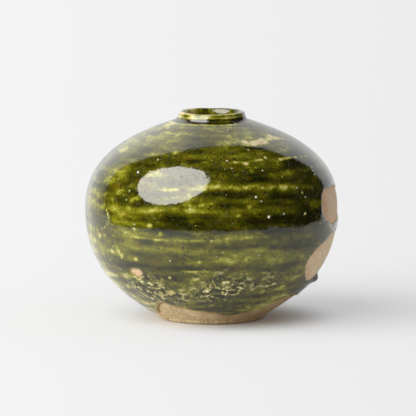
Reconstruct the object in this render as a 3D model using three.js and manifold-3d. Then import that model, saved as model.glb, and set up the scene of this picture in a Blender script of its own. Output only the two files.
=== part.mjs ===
// A squat, round stoneware vase with a short collar neck and a green ash glaze.
//
// Millimetres, +Z up. The origin is the centre of the foot, on the surface that
// the vase stands on. A bearing runs round the vase: 0 degrees is its right side
// (+X), 90 its front (-Y), 180 its left side (-X) and 270 its back (+Y).
//
// The clay is a base slab, a thrown lower wall, a thrown upper wall and a thrown
// collar, each seated on a tongue or a step of the one below. Three coats of
// glass lie on it: one outside, one over the lip, and a liner that holds water.

import * as THREE from 'three';
import Module from 'manifold-3d';
import { ParametricGeometry } from 'three/addons/geometries/ParametricGeometry.js';
import { mergeVertices, toCreasedNormals } from 'three/addons/utils/BufferGeometryUtils.js';

// Driving dimensions of the clay.
const BELLY_RADIUS = 98.75;
const BELLY_HEIGHT = 87.7;
const FOOT_TOP = { radius: 43.1, height: 3.4, slope: 33.5 };
const SHOULDER_TOP = { radius: 27.7, height: 156.6, slope: 18.5 };
const LOWER_FULLNESS = { belly: 52.5, foot: 25.6 };
const UPPER_FULLNESS = { belly: 40.6, shoulder: 38.4 };
const WALL = { foot: 6.0, belly: 5.0, shoulder: 4.4 };
const MOUTH_RETURN = 3.0;
const OVALITY = 0.35;
const OVAL_TURN = 0.6;

// The base slab, and the hollow and the edge of its low foot ring, as radius and height.
const FLOOR_HEIGHT = 8.0;
const FLOOR_RADIUS = 35.7;
const FOOT_HOLLOW = [[0, 1.6], [28.0, 1.6], [29.9, 0.7], [30.5, 0]];
const FOOT_EDGE = [[38.2, 0], [40.2, 0.4], [41.9, 1.5]];

// The joint of the two thrown walls, between the two bare windows.
const WALL_JOINT = { height: 75.7, tongueHeight: 1.8, tongueInset: 1.6, tongueWidth: 2.0, taper: 0.4 };

// The collar: its outside, over the lip and down the inside, as radius and height.
const COLLAR_LINE = [
  [27.3, 157.0], [25.75, 158.1], [25.05, 159.6], [25.3, 161.4], [24.95, 162.6],
  [24.05, 163.2], [23.05, 162.75], [22.5, 161.3], [22.35, 158.6], [22.1, 155.2],
];
const SPIGOT = { inner: 22.0, outer: 23.4, bottom: 152.9 };
const LIP_WAVES = [{ count: 2, height: 0.21, turn: 1.1 }, { count: 5, height: 0.12, turn: 0 }];
const LIP_WAVE_RISE = { from: 1.0, to: 5.0 };

// The glass coats.
const SEAT = 0.3;
const SEAM_STEP = 0.1;
const COAT = 0.8;
const LIP_COAT = 0.5;
const LINER_COAT = 0.6;
const HEM_EDGE = 0.3;
const HEM_LIFT = 0.3;
const HEM_ROLL = { height: 0.35, middle: 1.6, reach: 3.0 };
const HEM_ROUNDING = 1.2;
const THROWING_RIDGE = { height: 0.12, pitch: 12.0, fade: 14.0 };
const GLAZE_TOP_GAP = 0.3;

// Where the outer glaze ends above the foot: bearing in degrees, height in mm.
const HEM = [
  [0, 19], [18, 21], [30, 23.5], [37, 22], [43, 18.5], [52, 12.6], [66, 10.5], [76, 8.7], [88, 12],
  [100, 14], [114, 16.3], [126, 20], [136, 12.5], [149, 6.6], [175, 6.2], [205, 8],
  [230, 12.5], [255, 9], [285, 15], [310, 20], [335, 19],
];

// The bare windows in the outer glaze: bearing in degrees and height in mm, going round.
const UPPER_WINDOW = [
  [28.9, 95], [27.6, 101], [24.3, 104.9], [18, 106.2], [8, 105.6], [-3, 103],
  [-10, 97.5], [-11.5, 90], [-6, 83.6], [4, 80.4], [14, 80], [20.1, 80.6], [25.6, 83.6], [28.3, 89],
];
const LOWER_WINDOW = [
  [35.6, 49.5], [34.8, 55.7], [29.4, 61.6], [21.6, 66.9], [9.7, 71.2], [-4, 67],
  [-14, 58], [-16.5, 47], [-9, 38.5], [4, 34.4], [18, 34], [27.4, 36.4], [33, 42],
];
const SMALL_WINDOW = { bearing: 131.2, height: 45.6, halfWidth: 5.0, halfHeight: 2.9 };
const WINDOW_STEPS = 30;
const CUTTER_REACH = { inwards: 3.5, outwards: 13.0 };

// The bead of glass that hangs from the lower window's edge.
const BEAD = { bearing: 3, height: 31.5, proud: 2.2, halfWidth: 8.0, halfHeight: 4.6 };

// Facets.
const COLUMNS = 48;
const NECK_COLUMNS = 36;
const LINER_COLUMNS = COLUMNS / 2;
const LOWER_ROWS = 7;
const UPPER_ROWS = 8;
const HEM_ROWS = 4;
const GLAZE_ROWS = 44;
const NECK_ROWS = 11;
const HEM_OUTER_ROWS = [0, 0.7, 2.0, 4.5, 8.0];
const HEM_ZONE_TOP = 36.0;
const WELD = 1e-4;
const CREASE = THREE.MathUtils.degToRad(35);
const TURN = 2 * Math.PI;

const wasm = await Module();
wasm.setup();

// The line of the clay's outside, from the top of the foot to the foot of the collar.

function polar(from, slopeDegrees, distance) {
  const slope = THREE.MathUtils.degToRad(slopeDegrees);
  return new THREE.Vector2(
    from.radius + distance * Math.cos(slope),
    from.height + distance * Math.sin(slope),
  );
}

const belly = new THREE.Vector2(BELLY_RADIUS, BELLY_HEIGHT);
const bodyLine = new THREE.CurvePath();
bodyLine.add(new THREE.CubicBezierCurve(
  new THREE.Vector2(FOOT_TOP.radius, FOOT_TOP.height),
  polar(FOOT_TOP, FOOT_TOP.slope, LOWER_FULLNESS.foot),
  new THREE.Vector2(BELLY_RADIUS, BELLY_HEIGHT - LOWER_FULLNESS.belly),
  belly,
));
bodyLine.add(new THREE.CubicBezierCurve(
  belly,
  new THREE.Vector2(BELLY_RADIUS, BELLY_HEIGHT + UPPER_FULLNESS.belly),
  polar(SHOULDER_TOP, -SHOULDER_TOP.slope, UPPER_FULLNESS.shoulder),
  new THREE.Vector2(SHOULDER_TOP.radius, SHOULDER_TOP.height),
));
const LINE_LENGTH = bodyLine.getLength();

// A point on the line, pushed outwards by a distance. A station is 0 at the foot and 1 at the collar.
function onBody(station, outwards) {
  const point = bodyLine.getPoint(station);
  const along = bodyLine.getTangent(THREE.MathUtils.clamp(station, 1e-4, 1 - 1e-4));
  return new THREE.Vector2(point.x + outwards * along.y, point.y - outwards * along.x);
}

function stationAtHeight(height) {
  let low = 0;
  let high = 1;
  for (let step = 0; step < 40; step += 1) {
    const middle = (low + high) / 2;
    if (bodyLine.getPoint(middle).y < height) low = middle;
    else high = middle;
  }
  return (low + high) / 2;
}

function stationsBetween(from, to, count) {
  return Array.from({ length: count + 1 }, (_, k) => from + ((to - from) * k) / count);
}

function wallThickness(station) {
  return station < 0.5
    ? THREE.MathUtils.lerp(WALL.foot, WALL.belly, station * 2)
    : THREE.MathUtils.lerp(WALL.belly, WALL.shoulder, station * 2 - 1);
}

const jointStation = stationAtHeight(WALL_JOINT.height);
const lowerStations = stationsBetween(0, jointStation, LOWER_ROWS);
const upperStations = stationsBetween(jointStation, 1, UPPER_ROWS);
const innerUpperStations = [...upperStations.slice(0, -1), 1 - MOUTH_RETURN / LINE_LENGTH];

// How the glaze hem rises and falls round the foot, as a smooth closed curve.

const hemCurve = new THREE.CatmullRomCurve3(
  HEM.map(([bearing, height]) => {
    const angle = THREE.MathUtils.degToRad(bearing);
    return new THREE.Vector3(Math.cos(angle), Math.sin(angle), height);
  }),
  true,
);
const hemSamples = hemCurve.getPoints(HEM.length * 24).map((p) => ({
  bearing: (Math.atan2(p.y, p.x) + TURN) % TURN,
  height: p.z,
}));

function hemHeight(bearing) {
  const wanted = ((bearing % TURN) + TURN) % TURN;
  const apart = (s) => Math.min(Math.abs(s.bearing - wanted), TURN - Math.abs(s.bearing - wanted));
  return hemSamples.reduce((best, s) => (apart(s) < apart(best) ? s : best)).height;
}

// Solids that run right round the vase.

// Joins the shared vertices and leaves position as the only attribute.
function welded(geometry) {
  const bare = geometry.clone();
  bare.deleteAttribute('normal');
  bare.deleteAttribute('uv');
  return mergeVertices(bare, WELD);
}

function place(bearing, radius, height, target) {
  return target.set(radius * Math.cos(bearing), -radius * Math.sin(bearing), height);
}

// A closed ring whose section changes with the bearing. A section is a closed loop
// of points that runs down the outside and up the inside.
function ring(sectionAt, columns) {
  const sections = Array.from({ length: columns }, (_, k) => sectionAt((k / columns) * TURN));
  const rows = sections[0].length;
  const surface = (u, v, target) => {
    const column = Math.round(u * columns) % columns;
    const at = sections[column][Math.round(v * rows) % rows];
    return place((column / columns) * TURN, at.x, at.y, target);
  };
  return welded(new ParametricGeometry(surface, columns, rows));
}

const point = (radius, height) => new THREE.Vector2(radius, height);

// The base slab: a disc with a low foot ring and a raised floor that the wall fits over.
function baseSlab() {
  const seatHeight = FOOT_TOP.height - SEAT;
  const profile = [
    ...[...FOOT_HOLLOW, ...FOOT_EDGE].map(([radius, height]) => point(radius, height)),
    point(FOOT_TOP.radius - SEAM_STEP, seatHeight),
    point(FLOOR_RADIUS, seatHeight),
    point(FLOOR_RADIUS, FLOOR_HEIGHT),
    point(0, FLOOR_HEIGHT),
  ];
  const slab = new THREE.LatheGeometry(profile, COLUMNS);
  slab.rotateX(Math.PI / 2);
  return welded(slab);
}

// The rim of a wall at the joint, from the outside to the inside: flat, with a tongue up
// the middle. The upper wall has the same line, raised by the seat, as its groove.
function jointRim(rise, side) {
  const { height, tongueHeight, tongueInset, tongueWidth, taper } = WALL_JOINT;
  const outer = bodyLine.getPoint(jointStation).x;
  const root = outer - tongueInset + side;
  const far = outer - tongueInset - tongueWidth - side;
  return [
    point(root, height + rise),
    point(root - taper, height + rise + tongueHeight),
    point(far + taper, height + rise + tongueHeight),
    point(far, height + rise),
  ];
}

function lowerWall() {
  const outside = lowerStations.map((s) => onBody(s, 0)).reverse();
  const inside = lowerStations.map((s) => onBody(s, -wallThickness(s)));
  const foot = [
    point(FLOOR_RADIUS + SEAT, FOOT_TOP.height),
    point(FLOOR_RADIUS + SEAT, FLOOR_HEIGHT),
  ];
  const rim = jointRim(0, 0).reverse();
  inside[inside.length - 1].y = WALL_JOINT.height;
  return ring(() => [...outside, ...foot, ...inside, ...rim], COLUMNS);
}

function upperWall() {
  const outside = upperStations.map((s) => onBody(s, 0)).reverse();
  const inside = innerUpperStations.map((s) => onBody(s, -wallThickness(s)));
  outside[outside.length - 1].y = WALL_JOINT.height + SEAT;
  inside[0].y = WALL_JOINT.height + SEAT;
  const groove = jointRim(SEAT, SEAT);
  const mouth = [
    point(SPIGOT.outer + SEAT, SPIGOT.bottom - SEAT),
    point(SPIGOT.outer + SEAT, SHOULDER_TOP.height),
  ];
  return ring(() => [...outside, ...groove, ...inside, ...mouth], COLUMNS);
}

// The collar and the glass over it share one line, offset outwards from the clay.

const collarLine = new THREE.SplineCurve(COLLAR_LINE.map(([r, z]) => point(r, z)));

function lipWave(bearing, height) {
  const aboveShoulder = height - SHOULDER_TOP.height;
  const share = THREE.MathUtils.smoothstep(aboveShoulder, LIP_WAVE_RISE.from, LIP_WAVE_RISE.to);
  const waves = LIP_WAVES.map((w) => w.height * Math.sin(w.count * bearing + w.turn));
  return share * waves.reduce((sum, wave) => sum + wave, 0);
}

function onCollar(t, outwards, bearing) {
  const at = collarLine.getPoint(t);
  const along = collarLine.getTangent(t);
  const r = at.x + outwards * along.y;
  const z = at.y - outwards * along.x;
  return point(r, z + lipWave(bearing, z));
}

function collarPoints(outwards, bearing) {
  return stationsBetween(0, 1, NECK_ROWS).map((t) => onCollar(t, outwards, bearing));
}

function neckCollar() {
  const base = SHOULDER_TOP.height + SEAT;
  const spigot = [
    point(SPIGOT.inner, SPIGOT.bottom),
    point(SPIGOT.outer, SPIGOT.bottom),
    point(SPIGOT.outer, base),
    point(SHOULDER_TOP.radius - SEAM_STEP, base),
  ];
  return ring((bearing) => [...collarPoints(0, bearing), ...spigot].reverse(), NECK_COLUMNS);
}

function neckGlaze() {
  return ring((bearing) => {
    const outer = collarPoints(SEAT + LIP_COAT, bearing);
    const inner = collarPoints(SEAT, bearing);
    return [...outer.reverse(), ...inner];
  }, NECK_COLUMNS);
}

// The liner: glass poured round the inside, closed across the floor.
function linerGlaze() {
  const stations = [...lowerStations.slice(1), ...innerUpperStations.slice(1)];
  const wall = (inwards) => stations.map((s) => onBody(s, -wallThickness(s) - inwards));
  const skin = (inwards) => [
    point(0, FLOOR_HEIGHT + inwards),
    point(FLOOR_RADIUS, FLOOR_HEIGHT + inwards),
    ...wall(inwards),
  ];
  const profile = [...skin(SEAT), ...skin(SEAT + LINER_COAT).reverse()];
  const liner = new THREE.LatheGeometry(profile, LINER_COLUMNS);
  liner.rotateX(Math.PI / 2);
  return welded(liner);
}

// The outer glaze.

function bump(distance, reach) {
  return Math.exp(-((distance / reach) ** 2));
}

// Glass thickness over the clay: a roll along the hem, low throwing ridges that climb
// the wall as one spiral, and the hanging bead.
function coatThickness(bearing, station, aboveHem) {
  const at = bodyLine.getPoint(station);
  const fade = Math.min(1, aboveHem / THROWING_RIDGE.fade);
  const turns = (station * LINE_LENGTH) / THROWING_RIDGE.pitch;
  const ridge = THROWING_RIDGE.height * fade * Math.sin(turns * TURN - bearing);
  const roll = HEM_ROLL.height * bump(aboveHem - HEM_ROLL.middle, HEM_ROLL.reach);
  const across = (bearing - THREE.MathUtils.degToRad(BEAD.bearing)) * at.x;
  const bead = BEAD.proud * bump(across, BEAD.halfWidth) * bump(at.y - BEAD.height, BEAD.halfHeight);
  const edge = Math.min(1, aboveHem / HEM_ROUNDING);
  return HEM_EDGE + edge * (COAT - HEM_EDGE + ridge + roll) + bead;
}

// Above the hem zone the inside of the coat has a row of points at each row of the clay.
const wallStations = [...lowerStations, ...upperStations.slice(1, -1)];
const hemZoneTop = wallStations.find((s) => bodyLine.getPoint(s).y > HEM_ZONE_TOP);

// Near its hem the coat stands a little further off the clay, because its facets slant there.
function hemLift(station, hem) {
  const climbed = (station - hem) / (hemZoneTop - hem);
  return HEM_LIFT * Math.max(0, 1 - climbed);
}

function outerGlazeSection(bearing) {
  const hem = stationAtHeight(hemHeight(bearing));
  const top = 1 - GLAZE_TOP_GAP / LINE_LENGTH;
  const near = HEM_OUTER_ROWS.map((mm) => hem + mm / LINE_LENGTH);
  const far = stationsBetween(near.pop(), top, GLAZE_ROWS - near.length);
  const outside = [...near, ...far].map((s) => {
    const aboveHem = (s - hem) * LINE_LENGTH;
    return onBody(s, SEAT + hemLift(s, hem) + coatThickness(bearing, s, aboveHem));
  });
  const low = stationsBetween(hem, hemZoneTop, HEM_ROWS).map((s) => onBody(s, SEAT + hemLift(s, hem)));
  const high = [...wallStations.filter((s) => s > hemZoneTop + 1e-6), top].map((s) => onBody(s, SEAT));
  return [...outside.reverse(), ...low, ...high];
}

function toManifold(geometry) {
  return new wasm.Manifold(new wasm.Mesh({
    numProp: 3,
    vertProperties: geometry.attributes.position.array,
    triVerts: new Uint32Array(geometry.index.array),
  }));
}

function fromManifold(solid) {
  const mesh = solid.getMesh();
  const geometry = new THREE.BufferGeometry();
  geometry.setAttribute('position', new THREE.BufferAttribute(new Float32Array(mesh.vertProperties), 3));
  geometry.setIndex(new THREE.BufferAttribute(new Uint32Array(mesh.triVerts), 1));
  return geometry;
}

// A smooth closed outline on the wall, as bearings in radians and heights.
function windowOutline(corners) {
  const curve = new THREE.CatmullRomCurve3(corners.map(([b, z]) => new THREE.Vector3(b, z, 0)), true);
  return curve.getPoints(WINDOW_STEPS).slice(0, -1).map((p) => [THREE.MathUtils.degToRad(p.x), p.y]);
}

function ovalOutline({ bearing, height, halfWidth, halfHeight }) {
  const radius = onBody(stationAtHeight(height), 0).x;
  return Array.from({ length: WINDOW_STEPS }, (_, k) => {
    const angle = (k / WINDOW_STEPS) * TURN;
    return [
      THREE.MathUtils.degToRad(bearing) + (halfWidth / radius) * Math.cos(angle),
      height + halfHeight * Math.sin(angle),
    ];
  });
}

// A cutter that passes through the coat square to the wall, all along the outline.
function windowCutter(outline) {
  const vertices = [];
  for (const reach of [-CUTTER_REACH.inwards, CUTTER_REACH.outwards]) {
    for (const [bearing, height] of outline) {
      const at = onBody(stationAtHeight(height), reach);
      vertices.push(place(bearing, at.x, at.y, new THREE.Vector3()));
    }
  }
  const count = outline.length;
  const flat = outline.map(([bearing, height]) => new THREE.Vector2(bearing * BELLY_RADIUS, height));
  const cap = THREE.ShapeUtils.triangulateShape(flat, []);
  const index = [];
  for (const [a, b, c] of cap) {
    index.push(a, b, c, a + count, c + count, b + count);
  }
  for (let k = 0; k < count; k += 1) {
    const next = (k + 1) % count;
    index.push(k, k + count, next, next, k + count, next + count);
  }
  const geometry = new THREE.BufferGeometry().setFromPoints(vertices);
  geometry.setIndex(index);
  return geometry;
}

function bodyGlaze() {
  let coat = toManifold(ring(outerGlazeSection, COLUMNS));
  const outlines = [windowOutline(UPPER_WINDOW), windowOutline(LOWER_WINDOW), ovalOutline(SMALL_WINDOW)];
  for (const outline of outlines) {
    coat = coat.subtract(toManifold(windowCutter(outline)));
  }
  return fromManifold(coat);
}

// Finishes.

const firedClay = new THREE.MeshStandardMaterial({ name: 'fired_clay', color: 0xc4a780, roughness: 0.85 });
const greenGlaze = new THREE.MeshStandardMaterial({ name: 'green_glaze', color: 0x4c5a12, roughness: 0.12 });
const innerGlaze = new THREE.MeshStandardMaterial({ name: 'inner_glaze', color: 0x5b6416, roughness: 0.15 });

// Every piece is very slightly oval, as a hand-thrown form is.
function outOfRound(geometry) {
  const shaped = geometry.clone();
  const at = new THREE.Vector3();
  for (let k = 0; k < shaped.attributes.position.count; k += 1) {
    at.fromBufferAttribute(shaped.attributes.position, k);
    const stretch = 1 + (OVALITY / BELLY_RADIUS) * Math.cos(2 * Math.atan2(-at.y, at.x) + OVAL_TURN);
    shaped.attributes.position.setXY(k, at.x * stretch, at.y * stretch);
  }
  return shaped;
}

function part(name, geometry, material) {
  const mesh = new THREE.Mesh(toCreasedNormals(outOfRound(geometry), CREASE), material);
  mesh.name = name;
  return mesh;
}

const clay = new THREE.Group();
clay.add(
  part('foot_base', baseSlab(), firedClay),
  part('lower_wall', lowerWall(), firedClay),
  part('upper_wall', upperWall(), firedClay),
  part('neck_collar', neckCollar(), firedClay),
);

const glass = new THREE.Group();
glass.add(
  part('body_glaze', bodyGlaze(), greenGlaze),
  part('neck_glaze', neckGlaze(), greenGlaze),
  part('liner_glaze', linerGlaze(), innerGlaze),
);

const vase = new THREE.Group();
vase.add(clay, glass);

export default vase;
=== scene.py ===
# A squat, round stoneware vase under a run green ash glaze, on a plain white table.
#
# Metres, +Z up. The origin is the centre of the foot, on the table. A bearing runs
# round the vase in degrees: 0 is its right side (+X), 90 its front (-Y), 180 its left.
# A run is the distance along the outside of the clay, up from the top of the foot.

import math

import bmesh
import bpy
import numpy as np
from bpy.props import FloatProperty, FloatVectorProperty, IntProperty, PointerProperty
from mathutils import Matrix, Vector, noise
from mathutils.geometry import interpolate_bezier


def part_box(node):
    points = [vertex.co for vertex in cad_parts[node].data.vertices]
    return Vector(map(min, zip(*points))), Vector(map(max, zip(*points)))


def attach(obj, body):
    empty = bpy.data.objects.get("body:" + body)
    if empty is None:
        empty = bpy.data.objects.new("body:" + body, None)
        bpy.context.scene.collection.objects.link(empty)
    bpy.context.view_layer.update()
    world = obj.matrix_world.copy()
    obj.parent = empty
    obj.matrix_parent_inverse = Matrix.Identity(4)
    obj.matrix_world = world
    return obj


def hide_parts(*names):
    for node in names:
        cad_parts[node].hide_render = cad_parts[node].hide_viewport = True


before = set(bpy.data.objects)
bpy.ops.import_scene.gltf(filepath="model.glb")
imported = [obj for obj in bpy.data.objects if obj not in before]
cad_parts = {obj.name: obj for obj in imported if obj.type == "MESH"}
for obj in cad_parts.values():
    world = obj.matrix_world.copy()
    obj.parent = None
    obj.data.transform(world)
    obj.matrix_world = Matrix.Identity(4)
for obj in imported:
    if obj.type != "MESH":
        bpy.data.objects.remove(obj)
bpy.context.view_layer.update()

bl_info = {
    "name": "Ash Glazed Vase",
    "version": (1, 0, 0),
    "blender": (4, 5, 0),
    "location": "View3D > Sidebar > Vase",
    "description": "Throws a squat stoneware vase, pours its glaze and sets it on a white table",
    "category": "Add Mesh",
}

BODY = "root"
MM = 0.001
TURN = 2 * math.pi

# The clay. Its walls have the frame's form, and its lip leans out a little further.
FOOT_TOP = Vector((43.1, 3.4)) * MM
FOOT_SLOPE = math.radians(33.5)
SHOULDER_TOP = Vector((27.7, 156.6)) * MM
SHOULDER_SLOPE = math.radians(18.5)
FULLNESS = {"foot": 25.6 * MM, "below belly": 52.5 * MM, "above belly": 40.6 * MM, "shoulder": 38.4 * MM}
COLLAR = (
    (27.15, 157.1), (26.45, 158), (26.05, 159.2), (25.7, 160.5), (25.25, 161.7), (24.75, 162.6),
    (24, 163.2), (23.1, 162.7), (22.45, 161.6), (21.95, 160), (21.75, 158), (21.75, 155.2),
)
WALL = {"foot": 6.0 * MM, "belly": 5.0 * MM, "shoulder": 4.4 * MM}
# The foot from the recess under it to its outside, below its top, as radius and height in mm.
RECESS_EDGE = ((28, 1.6), (29.9, 1.3), (30.5, 0.5), (30.9, 0))
FOOT_EDGE = ((38.2, 0), (40.3, 0.4), (42, 1.5))
# The tongue between the walls, in mm in from the outside and up from the joint.
TONGUE = ((1.6, 0), (2.0, 1.8), (3.2, 1.8), (3.6, 0))
WALL_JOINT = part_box("lower_wall")[1].z - TONGUE[1][1] * MM
SEAM = 0.3 * MM
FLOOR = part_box("foot_base")[1].z
FLOOR_RADIUS = 35.7 * MM
SPIGOT = {"inner": 22.0 * MM, "outer": 23.4 * MM, "bottom": 152.9 * MM}
# How oval the turn is and which way, how wavy the lip is, and the gap between two ridges.
OVALITY = 0.35 / 98.75
OVAL_TURN = 0.6
LIP_WAVE = 0.3 * MM
RIDGE_PITCH = 9.8 * MM
# Sharp edges start at this angle. A run below zero stands for clay that is out of sight.
CREASE = math.radians(40)
OUT_OF_SIGHT = -1

# The glaze: where it ends above the foot, and the bare windows in it.
HEM = (
    (0, 19), (18, 21), (30, 23.5), (37, 22), (43, 18.5), (52, 12.6), (66, 10.5), (76, 8.7), (88, 12),
    (100, 14), (114, 16.3), (119, 17.4), (123.5, 20.6), (127, 19.4), (132, 16.2), (137, 12.6),
    (142, 8.8), (156, 7.6), (175, 7.2), (205, 8), (230, 12.5), (255, 9), (285, 15), (310, 20),
    (335, 19),
)
UPPER_WINDOW = (
    (28.9, 95), (27.6, 101), (24.3, 104.9), (18, 106.2), (8, 105.6), (-3, 103), (-10, 97.5),
    (-11.5, 90), (-6, 83.6), (4, 80.4), (14, 80), (20.1, 80.6), (25.6, 83.6), (28.3, 89),
)
LOWER_WINDOW = (
    (35.6, 49.5), (34.8, 55.7), (29.4, 61.6), (21.6, 66.9), (9.7, 71.2), (-4, 67), (-14, 58),
    (-16.5, 47), (-9, 38.5), (4, 34.4), (18, 34), (27.4, 36.4), (33, 42),
)
SMALL_WINDOW = (
    (134.2, 45.4), (132.8, 47.6), (130.4, 48.3), (128.2, 46.6), (128.6, 44.2), (131.4, 42.9),
)
BEAD = {"bearing": 3, "height": 32.8, "proud": 2.9 * MM, "half width": 8 * MM, "half height": 4.4 * MM}

# Strokes in the glaze: from one bearing and height in mm to another, half the width in mm,
# and how thin the glaze lies there. Throwing ridges show pale; a minus is a thick, dark run.
STROKES = (
    (96, 132.4, 76, 132, 1.1, 0.4), (78, 132.2, 60, 133.4, 1.3, 0.45),
    (47.5, 132.2, 38.7, 132.7, 1.5, 1.25), (38.7, 132.7, 21, 131, 1.2, 1.05),
    (116, 112.4, 94, 113.6, 1.8, 0.5), (92, 114.4, 70, 115, 2.5, 0.7),
    (70, 114.8, 52, 113.4, 2.2, 0.5), (50, 113, 34, 110.6, 1.5, 0.35), (112, 107, 86, 107.5, 2, 0.22),
    (60, 104.5, 36, 100, 1.6, 0.24), (106, 102.2, 86, 102, 1.4, 0.42), (118, 97, 98, 99.5, 2.4, 0.26),
    (141, 74.1, 116, 74.1, 1, 0.45), (116, 74.1, 94, 75.2, 1, 0.36), (84, 77, 62, 76.2, 1.2, 0.28),
    (56, 75, 38, 73.4, 1.2, 0.26), (104, 50.2, 92, 50.6, 0.9, 0.62), (182, 40, 138, 41.5, 2.6, 0.32),
    (124, 86.5, 96, 81, 2.2, 0.2), (88, 60, 56, 58, 2.6, 0.2), (145.2, 93.4, 143.4, 88.2, 0.8, 1.3),
    (139, 66, 137.5, 57, 0.9, 0.75), (172, 98, 143, 94.5, 5, -0.22), (151, 104, 150, 100, 1.2, 0.25),
    (163, 84, 162, 74, 1.3, 0.45), (155, 80, 153, 70, 1.2, 0.42), (169, 72, 166, 60, 1.5, 0.4),
    (149, 74, 147, 66, 1, 0.4), (65, 143.6, 48, 144.4, 3, 0.98), (55, 143.8, 33, 145.9, 3.6, 1.02),
    (38, 147.9, 26, 145.4, 2.4, 0.98), (32, 145.2, 19, 142.6, 2, 0.9),
    (44, 137.6, 28, 138.6, 1.2, 0.3), (70, 121, 34, 115, 3, -0.3), (94, 108.6, 50, 106, 1.7, -0.28),
    (60, 107.2, 26, 103, 2.6, -0.34), (110, 88, 60, 87.6, 3.2, -0.28), (72, 89, 26, 90, 4.4, -0.34),
    (150, 89.5, 118, 87.5, 2.4, -0.3), (88, 70, 60, 68.4, 1.7, -0.34),
    (62, 68.6, 36, 65.5, 2.1, -0.4), (170, 51.5, 132, 51, 2.6, -0.42),
    (134, 51.6, 80, 52.6, 2.4, -0.42), (82, 52.4, 52, 49, 2, -0.3), (66, 142, 48, 140.2, 2, -0.55),
    (134, 118, 112, 121, 3, -0.22), (24, 125.4, 25.6, 116.4, 1, -1.2),
    (12, 139.8, 11, 136.4, 0.9, -1), (132, 43.5, 121, 30, 1, -0.5), (127, 46, 115, 27, 1.2, -0.5),
    (121, 43, 109, 24, 1, -0.42), (140, 40, 128, 26, 0.9, -0.36), (115, 40, 106, 26, 0.8, -0.34),
    (129, 44, 118, 28, 0.8, 0.5), (124, 43.5, 113, 27, 0.7, 0.46), (137, 39, 124, 23, 0.9, 0.44),
    # The last stroke darkens the bead as thick glaze and as a painted dark reflection.
    (147, 36, 132, 19, 1.2, 0.4), (156, 34, 140, 16, 1.2, 0.3), (13, 32, -6, 33, 4.5, -1.1),
)

# Blots, pale or with a minus dark: bearing, height in mm, radius in mm, and how thin.
BLOTS = (
    (99, 89, 2, 0.55), (114, 138, 2.4, 0.6), (70, 131, 1.8, 0.5), (148, 152, 2, 0.4),
    (54, 112, 2.4, 0.35), (73, 100, 1.7, 0.6), (78, 94, 1.4, 0.6), (62, 42, 2.2, 0.62),
    (114, 31, 3.4, 0.8), (96, 58, 1.4, 0.5), (69, 125.5, 1.7, 0.6), (63.6, 144.9, 2, 1),
    (71.2, 130.8, 1.6, 0.8), (118.9, 84.9, 1.7, 0.85), (113.7, 79.6, 2, 0.75),
    (131.7, 112.9, 2.4, 0.45), (125.7, 105.4, 2.6, 0.45), (138.4, 107.4, 2.6, 0.4),
    (141.6, 101.2, 2, 0.45), (129.2, 102.3, 2, 0.45), (151.9, 72, 1.8, 0.8), (147.2, 73.1, 1.8, 0.7),
    (143.9, 61, 1.6, 0.9), (128.5, 57.4, 1.6, 0.7), (87, 74.5, 1.9, 0.3), (131, 98, 2.6, 0.3),
    (127, 104, 2.2, 0.28), (62, 45, 1.6, -0.6), (66, 40, 1.8, -0.5), (116, 135, 1.8, -0.3),
    (84, 55, 3.4, -0.2),
)

# Pinholes, painted as white highlights over painted shadows: bearing, height in mm and radius in mm.
PINHOLES = (
    (131, 123.2, 1), (69.4, 107.2, 1), (63.8, 92, 1.2), (56, 93.4, 0.7), (81.4, 133.2, 0.8),
    (79.3, 128, 0.5), (62.6, 125.6, 0.7), (110, 58, 0.6), (67, 104, 0.6), (88, 62, 0.4),
    (68, 62.5, 0.5), (42, 104, 0.6), (46, 111.4, 0.6), (100, 99, 0.5), (26.4, 123.6, 0.5),
    (27.4, 121.2, 0.6), (28.3, 118.6, 0.7),
)

# Crusty patches low on the front: bearing, height in mm, half width, half height, how rough.
CRUSTS = ((86, 36, 24, 15, 1.0), (108, 27, 15, 9, 0.7), (126, 33, 20, 15, 0.9), (58, 40, 12, 8, 0.7))

# Sides painted paler or darker all the way up: the bearings at which that begins, is full,
# fades and ends, and how much paler. The first, on the right, is painted shade; the next two,
# on the left, are painted light. The last one holds only just above the hem. Low down it is
# paler all round, and high up it is paler all round as painted light from above: the heights
# in mm between which that fades, and how much paler.
SIDE_LIGHT_AND_SHADE = ((-75, -25, 14, 58, -0.35), (110, 150, 200, 260, 0.08), (135, 165, 190, 250, 0.06))
HEM_SIDE = (112, 132, 190, 240, 0.42)
HEM_FADE = 7 * MM
LOW_DOWN = (74, 84, 0.14)
PAINTED_TOP_LIGHT = (132, 144, 0.18)

# The set, as the glaze mirrors it. The white table runs up into a backdrop behind, which
# is brightest on the left and fades away beyond it. A softbox hangs high on the left.
SHEET_LIFT = 0.2 * MM
TABLE_EDGE = (
    (-0.36, -0.31), (-0.22, -0.4), (0.03, -0.455), (0.22, -0.4), (0.41, -0.31), (0.45, -0.12),
    (0.51, 0.06), (0.55, 0.2), (0.66, 0.5), (-1.4, 0.5), (-1.4, 0.36), (-0.5, 0.05), (-0.46, -0.06),
    (-0.4, -0.18),
)
BACKDROP = {
    "left": -1.4, "right": 0.66, "distance": 0.5, "height": 1.5, "curve": 0.25, "curve steps": 8,
}
BACKDROP_GLOW = (
    (-1.4, 0), (-1.25, 0.12), (-1.02, 0.5), (-0.8, 1), (-0.55, 1.35), (-0.28, 1.6), (-0.18, 1.4),
    (-0.03, 0.97), (0.12, 1), (0.25, 1.22), (0.42, 1.05), (0.66, 0.8),
)
BACKDROP_TOP = (
    (-1.4, 0.25), (-1.05, 0.4), (-0.8, 0.58), (-0.71, 0.78), (-0.66, 0.98), (-0.5, 1.24), (-0.3, 1.4),
    (0, 1.31), (0.21, 1.1), (0.3, 0.98), (0.4, 0.81), (0.5, 0.72), (0.56, 0.52), (0.66, 0.4),
)
SOFTBOX = {"place": Vector((-0.59, -0.53, 0.89)), "half width": 0.60, "half height": 0.67}
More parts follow.
